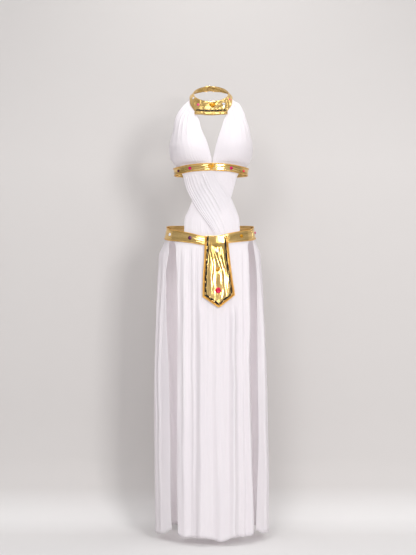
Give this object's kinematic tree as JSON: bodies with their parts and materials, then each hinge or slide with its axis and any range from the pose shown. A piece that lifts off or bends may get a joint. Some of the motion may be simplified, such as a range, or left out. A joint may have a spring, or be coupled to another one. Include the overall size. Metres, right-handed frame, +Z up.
{
  "type": "egyptian queen costume",
  "caption": "White floor-length halter costume with gathered cups and crossed wraps, a gold collar, underbust band and hip belt, a pointed gold flap and a skirt of two panels with slits.",
  "frame": {"origin": "centre of the collar, where the wearer's neck passes", "axes": "+Z up the wearer's body, the costume faces -Y, +X to the viewer's right"},
  "size_m": [0.3905, 0.3185, 1.5314],
  "materials": {
    "white_cloth": "soft matte stretch jersey",
    "gold_lame": "shiny gold lame, foil printed",
    "orange_gold_binding": "shiny orange gold binding",
    "sequin_braid": "black and gold sequins",
    "amber_stone": "clear faceted acrylic",
    "pink_stone": "clear faceted acrylic",
    "clear_stone": "clear faceted acrylic",
    "magenta_stone": "clear faceted acrylic",
    "purple_stone": "clear faceted acrylic",
    "red_stone": "clear faceted acrylic"
  },
  "bodies": {
    "root": {"band_stone_heart": "amber_stone", "band_stone_magenta_left": "magenta_stone", "band_stone_magenta_right": "magenta_stone", "band_stone_purple": "purple_stone", "band_stone_red": "red_stone", "belt_back": "gold_lame", "belt_front": "gold_lame", "belt_stone_amber": "amber_stone", "belt_stone_pink": "pink_stone", "belt_stone_purple": "purple_stone", "belt_stone_white": "clear_stone", "bust_band": "gold_lame", "collar": "gold_lame", "collar_braid": "sequin_braid", "collar_roll": "gold_lame", "collar_stone_clear": "clear_stone", "collar_stone_heart": "amber_stone", "collar_stone_left": "clear_stone", "collar_stone_pink": "pink_stone", "collar_stone_right": "pink_stone", "flap": "gold_lame", "flap_binding": "orange_gold_binding", "flap_braid": "sequin_braid", "flap_stone_amber": "amber_stone", "flap_stone_clear": "clear_stone", "flap_stone_red": "red_stone", "halter_left": "white_cloth", "halter_right": "white_cloth", "skirt_back": "white_cloth", "skirt_front": "white_cloth", "wrap_over": "white_cloth", "wrap_under": "white_cloth"}
  },
  "joints": []
}
